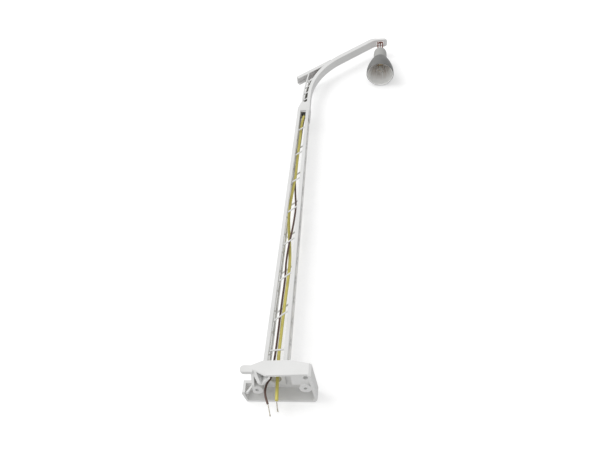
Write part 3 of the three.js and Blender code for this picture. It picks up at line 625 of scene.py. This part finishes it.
def make_mast():
    """Every moulded piece from foot to arm, and the two sleeves where thick leads meet thin ones."""
    for node, name, edge in MOULDED:
        from_node(node, name, MAST_GREY, edge)
    for node in ("solder_sleeve_yellow", "solder_sleeve_brown"):
        from_node(node, node.replace("solder_", ""), SLEEVE_BLACK, 0.12, 3)


def paint_arm_leads():
    """The leads inside the arm show their own CAD surface, in copper."""
    for node in ("arm_lead_front", "arm_lead_rear"):
        frame["nodes"][node].data.materials[0] = COPPER


# ---------------------------------------------------------------- copper leads at the lamp's neck
LEAD_IN_ARM = 0.22
LEAD_AT_NECK = 0.26
NECK_SPREAD = 1.05
BEND_ABOVE_PIN = 0.25
CAP_INSIDE_Z = 183.8


def make_neck_leads():
    """Each lead comes over the arm's end and down into the lamp's cap, with a bend just above the pin that
    the lamp swings on.
    """
    bend = PIN_Z + BEND_ABOVE_PIN
    left = LAMP_MM - NECK_SPREAD
    right = LAMP_MM + NECK_SPREAD
    near = [
        (left - 0.9, -0.36, bend), (left - 0.4, -0.25, bend + 0.06), (left, -0.05, bend - 0.15),
        (left - 0.04, 0.0, 190.9), (left - 0.06, 0.0, 189.5), (left, 0.0, 187.4),
        (left + 0.05, 0.0, CAP_INSIDE_Z),
    ]
    over = [
        (LAMP_MM - 0.9, 0.6, bend + 0.1), (LAMP_MM, 0.66, bend + 0.15), (LAMP_MM + 0.7, 0.5, bend + 0.1),
        (right, 0.12, bend - 0.15), (right + 0.04, 0.0, 190.9), (right + 0.06, 0.0, 189.5),
        (right, 0.0, 187.4), (right - 0.05, 0.0, CAP_INSIDE_Z),
    ]
    leads = (("neck_lead_near", "neck_lead_left", near), ("neck_lead_over", "neck_lead_right", over))
    for name, node, points in leads:
        route = catmull([mm(*p) for p in points], steps=8)
        thick_below = (PIN_Z - 0.6) * MM
        radii = [LEAD_IN_ARM * MM if p.z > thick_below else LEAD_AT_NECK * MM for p in route]
        piece = tube(name, route, radii, COPPER, sides=14)
        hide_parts(node)
        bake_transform(piece)


# ---------------------------------------------------------------- lamp
# Profiles are (radius, z) in millimetres.
CAP_PROFILE = [
    (0.0, 185.1), (1.0, 185.1), (1.35, 185.07), (1.75, 184.95), (2.1, 184.72), (2.4, 184.38),
    (2.62, 183.95), (2.78, 183.4), (2.88, 182.8), (2.92, 182.2), (2.94, 181.5), (2.95, 180.6),
    (2.95, 178.1), (2.93, 178.0), (2.88, 177.95), (2.55, 177.95), (2.55, 176.2), (2.5, 176.1),
    (2.25, 176.1), (2.2, 176.18), (2.2, 183.05), (1.6, 184.15), (0.0, 184.2),
]
SHADE_OUTSIDE = [
    (2.97, 177.85), (3.05, 177.7), (3.35, 177.15), (4.0, 175.8), (4.6, 174.25), (5.12, 172.65),
    (5.55, 171.05), (5.88, 169.4), (5.98, 168.3), (6.0, 167.4),
]
SHADE_RIM = [
    (6.0, 167.1), (6.0, 166.85), (5.96, 166.66), (5.85, 166.53), (5.72, 166.5), (5.6, 166.58),
    (5.55, 166.75),
]
SHADE_INSIDE = [
    (5.56, 168.0), (5.45, 169.3), (5.14, 170.9), (4.72, 172.5), (4.2, 174.1), (3.6, 175.6), (3.05, 176.62),
    (2.68, 176.66), (2.62, 176.72), (2.6, 176.8), (2.6, 177.8), (2.66, 177.88),
]


CAP_HOLE_Z = (183.0, 187.0)
WIRE_HOLE = 0.3
LEAD_HOLE = 0.38
RIM_ROWS_INSIDE = 3
BOWL_POINTS = 6
INSULATOR_PROFILE = [
    (0.0, 183.0), (1.95, 183.0), (2.1, 182.88), (2.1, 182.2), (2.0, 182.1), (2.0, 181.8), (2.1, 181.7),
    (2.1, 180.75), (2.02, 180.65), (0.0, 180.65),
]
SLEEVE_PROFILE = [
    (1.85, 180.6), (2.05, 180.6), (2.1, 180.52), (2.1, 176.45), (2.06, 176.32), (1.95, 176.3),
    (1.86, 176.36), (1.82, 176.6), (1.8, 176.9), (1.8, 180.55),
]
CONTACT_PROFILE = [
    (0.0, 180.55), (0.7, 180.55), (0.75, 180.48), (0.7, 180.32), (0.45, 180.2), (0.0, 180.17),
]


def make_cap():
    """The cap over the socket, with holes for the hanger and for a lead at either side of it."""
    low, high = (z * MM for z in CAP_HOLE_Z)
    holes = [(LAMP_X, 0.0, low, high, WIRE_HOLE * MM)]
    for side in (-1, 1):
        holes.append((LAMP_X + side * NECK_SPREAD * MM, 0.0, low, high, LEAD_HOLE * MM))
    cap = lathe("cap", in_metres(CAP_PROFILE), CAP_GREY)
    settle(drilled(cap, holes), "lamp_cap")


def make_shade():
    """The shade's wall, painted outside and round its rim, with the pale reflector inside."""
    outside = curved(in_metres(SHADE_OUTSIDE), steps=3)
    rim = in_metres(SHADE_RIM)
    above_rim, *bowl = in_metres(SHADE_INSIDE)
    inside = [above_rim, *curved(bowl[:BOWL_POINTS], steps=4), *bowl[BOWL_POINTS:]]
    first_inside = len(outside) + len(rim) - RIM_ROWS_INSIDE
    profile = outside + rim + inside
    settle(lathe("shade", profile, [SHADE_PAINT, REFLECTOR], second_from=first_inside), "lamp_shade")


def make_socket():
    """The push-in socket: an insulator under the cap, a sleeve round the bulb and a contact above it."""
    settle(lathe("insulator", in_metres(INSULATOR_PROFILE), PHENOLIC, sides=64), "socket_insulator")
    settle(lathe("socket_sleeve", in_metres(SLEEVE_PROFILE), BRASS, sides=64), "contact_sleeve")
    settle(lathe("contact", in_metres(CONTACT_PROFILE), BRASS, sides=32), "centre_contact")


# ---------------------------------------------------------------- hanger and pin
EYE_RADIUS = 0.55
EYE_STEPS = 14
EYE_START = -78.0
EYE_STEP = 22.5
EYE_ASIDE = 0.1
HANGER_RADIUS = 0.21
PIN_HALF = 1.38
PIN_RADIUS = 0.25
PIN_TIP_RADIUS = 0.18
PIN_TIP = 0.08


def make_hanger():
    """A bent wire: it stands in the cap and its eye goes round the pin."""
    eye_foot = PIN_Z - EYE_RADIUS - 0.25
    points = [(LAMP_MM, 0.0, z) for z in (183.6, 185.5, 187.5, 189.8, eye_foot)]
    for i in range(EYE_STEPS + 1):
        a = math.radians(EYE_START + EYE_STEP * i)
        aside = EYE_ASIDE * math.sin(i / EYE_STEPS * math.pi)
        points.append((LAMP_MM + EYE_RADIUS * math.cos(a), aside, PIN_Z + EYE_RADIUS * math.sin(a)))
    route = catmull([mm(*p) for p in points], steps=5)
    settle(wire("hanger", route, HANGER_RADIUS * MM, COPPER, sides=14), "hanger_wire")


def make_pin():
    """A plain pin across the arm's end, with slightly narrower tips."""
    stations = (-PIN_HALF, -PIN_HALF + PIN_TIP, PIN_HALF - PIN_TIP, PIN_HALF)
    route = [mm(LAMP_MM, y, PIN_Z) for y in stations]
    radii = [radius * MM for radius in (PIN_TIP_RADIUS, PIN_RADIUS, PIN_RADIUS, PIN_TIP_RADIUS)]
    settle(tube("pin", route, radii, STEEL, sides=32), "hanger_pin")


# ---------------------------------------------------------------- bulb
RINGS = 5
RING_PITCH = 0.6
RING_WIDTH = 0.16
RING_FOOT = 0.4
FIRST_RING_Z = 179.5
RING_CREST = 1.68
RING_ROOT = 1.5
BULB_CAP_TOP = [(0.0, 180.1), (0.5, 180.08), (0.62, 179.95), (1.2, 179.88), (1.5, 179.75)]
BULB_CAP_FOOT = [(1.58, 176.5), (1.6, 176.32), (0.0, 176.3)]
GLASS_OUTSIDE = [
    (1.5, 176.2), (1.56, 175.8), (1.62, 175.2), (1.85, 173.9), (2.0, 172.5), (1.9, 171.2), (1.35, 169.9),
    (0.6, 169.46), (0.0, 169.4),
]
GLASS_INSIDE = [
    (0.0, 169.55), (0.55, 169.6), (1.25, 170.02), (1.77, 171.25), (1.86, 172.5), (1.71, 173.85),
    (1.48, 175.1), (1.42, 175.7), (1.4, 176.2),
]
BEAD_PROFILE = [(0.0, 174.9), (0.5, 174.85), (0.68, 174.6), (0.5, 174.35), (0.0, 174.3)]
POST_STATIONS = [(1.0, 176.15), (0.9, 174.6), (0.9, 171.4)]
POST_RADIUS = 0.14
COIL_TURNS = 11
COIL_STEPS = 10
COIL_RADIUS = 0.045
COIL_HALF = 0.7
COIL_Z = 171.3
COIL_RISE = 0.35
COIL_WIRE = 0.02


def make_bulb_cap():
    """The bulb's metal cap, with separate rings rolled round it. It pushes in, so there is no thread."""
    profile = list(BULB_CAP_TOP)
    for ring in range(RINGS):
        top = FIRST_RING_Z - RING_PITCH * ring
        profile += [(RING_CREST, top), (RING_CREST, top - RING_WIDTH), (RING_ROOT, top - RING_FOOT)]
    profile += BULB_CAP_FOOT
    settle(lathe("bulb_cap", in_metres(profile), BRASS, sides=64), "bulb_base")


def make_bulb_glass():
    """The blown envelope, open at its neck. Both walls end in one point on the axis."""
    outside = curved(in_metres(GLASS_OUTSIDE), steps=4)[:-1] + in_metres(GLASS_OUTSIDE[-1:])
    inside = in_metres(GLASS_INSIDE[:1]) + curved(in_metres(GLASS_INSIDE), steps=4)[1:]
    profile = outside[::-1] + inside[::-1]
    settle(lathe("bulb_envelope", profile, GLASS, sides=64), "bulb_glass")
    settle(lathe("bead", in_metres(BEAD_PROFILE), GLASS, sides=32), "bulb_bead")


def make_filament():
    """Two posts with a coil of fine wire between them."""
    posts = ((-1, "post_left", "filament_post_left"), (1, "post_right", "filament_post_right"))
    for side, name, node in posts:
        route = catmull([mm(LAMP_MM + side * out, 0, z) for out, z in POST_STATIONS], steps=5)
        settle(wire(name, route, POST_RADIUS * MM, COPPER, sides=10), node)
    coil = []
    for i in range(COIL_TURNS * COIL_STEPS + 1):
        t = i / (COIL_TURNS * COIL_STEPS)
        a = 2 * math.pi * COIL_TURNS * t
        rise = COIL_RISE * math.sin(math.pi * t)
        along = LAMP_MM - COIL_HALF + 2 * COIL_HALF * t
        coil.append(mm(along, COIL_RADIUS * math.cos(a), COIL_Z + rise + COIL_RADIUS * math.sin(a)))
    settle(wire("filament_coil", coil, COIL_WIRE * MM, STEEL, sides=6), "filament")


# ---------------------------------------------------------------- table, light and world
TABLE_Y = 6.75
TABLE_LEAN = 0.003
TABLE_HALF = 900.0
TABLE_GLOW = 0.42
TABLE_COLOUR = 0.68
SKY = 0.66
KEY_STRENGTH = 1.25
KEY_ANGLE = 38.0
KEY_FROM = (-0.72, -1.0, 0.16)
FILL_STRENGTH = 0.3
FILL_ANGLE = 60.0
FILL_FROM = (-0.5, -0.6, -0.8)


def make_table():
    """The pale table that the lamp lies on. Only its upper side shows: a view from behind looks through."""
    material = bpy.data.materials.new("table")
    material.use_nodes = True
    tree = material.node_tree
    tree.nodes.clear()
    paint = tree.nodes.new("ShaderNodeBsdfDiffuse")
    paint.inputs["Color"].default_value = (TABLE_COLOUR, TABLE_COLOUR, TABLE_COLOUR, 1.0)
    glow = tree.nodes.new("ShaderNodeEmission")
    glow.inputs["Strength"].default_value = TABLE_GLOW
    both = tree.nodes.new("ShaderNodeAddShader")
    clear = tree.nodes.new("ShaderNodeBsdfTransparent")
    side = tree.nodes.new("ShaderNodeNewGeometry")
    choose = tree.nodes.new("ShaderNodeMixShader")
    output = tree.nodes.new("ShaderNodeOutputMaterial")
    tree.links.new(paint.outputs[0], both.inputs[0])
    tree.links.new(glow.outputs[0], both.inputs[1])
    tree.links.new(side.outputs["Backfacing"], choose.inputs["Fac"])
    tree.links.new(both.outputs[0], choose.inputs[1])
    tree.links.new(clear.outputs[0], choose.inputs[2])
    tree.links.new(choose.outputs[0], output.inputs["Surface"])
    mesh = bpy.data.meshes.new("table")
    corners = []
    for right, up in ((-1, -1), (1, -1), (1, 1), (-1, 1)):
        z = up * TABLE_HALF
        corners.append(mm(right * TABLE_HALF, TABLE_Y - TABLE_LEAN * z, z))
    mesh.from_pydata(corners, [], [(0, 1, 2, 3)])
    mesh.update()
    table = place("table", mesh, material)
    for ray in ("diffuse", "glossy", "transmission", "volume_scatter", "shadow"):
        setattr(table, "visible_" + ray, False)


def make_world():
    """An even white sky that lights the lamp at one strength and shows white behind it."""
    world = bpy.data.worlds.new("studio")
    bpy.context.scene.world = world
    world.use_nodes = True
    tree = world.node_tree
    tree.nodes.clear()
    path = tree.nodes.new("ShaderNodeLightPath")
    sky = tree.nodes.new("ShaderNodeBackground")
    sky.inputs["Strength"].default_value = SKY
    seen = tree.nodes.new("ShaderNodeBackground")
    seen.inputs["Strength"].default_value = 1.0
    for background in (sky, seen):
        background.inputs["Color"].default_value = (1.0, 1.0, 1.0, 1.0)
    mix = tree.nodes.new("ShaderNodeMixShader")
    output = tree.nodes.new("ShaderNodeOutputWorld")
    tree.links.new(path.outputs["Is Camera Ray"], mix.inputs["Fac"])
    tree.links.new(sky.outputs[0], mix.inputs[1])
    tree.links.new(seen.outputs[0], mix.inputs[2])
    tree.links.new(mix.outputs[0], output.inputs["Surface"])
    bpy.context.scene.view_settings.view_transform = "Standard"


def make_suns():
    """A soft key light from the front left, and a weak fill from below."""
    suns = (("key", KEY_STRENGTH, KEY_ANGLE, KEY_FROM), ("fill", FILL_STRENGTH, FILL_ANGLE, FILL_FROM))
    for name, strength, angle, source in suns:
        data = bpy.data.lights.new(name, "SUN")
        data.energy = strength
        data.angle = math.radians(angle)
        sun = bpy.data.objects.new(name, data)
        bpy.context.scene.collection.objects.link(sun)
        sun.rotation_mode = "QUATERNION"
        sun.rotation_quaternion = Vector(source).to_track_quat("Z", "Y")


make_camera()
make_leads()
make_mast()
make_neck_leads()
make_cap()
make_shade()
make_socket()
make_hanger()
make_pin()
make_bulb_cap()
make_bulb_glass()
make_filament()
paint_arm_leads()
make_table()
make_world()
make_suns()
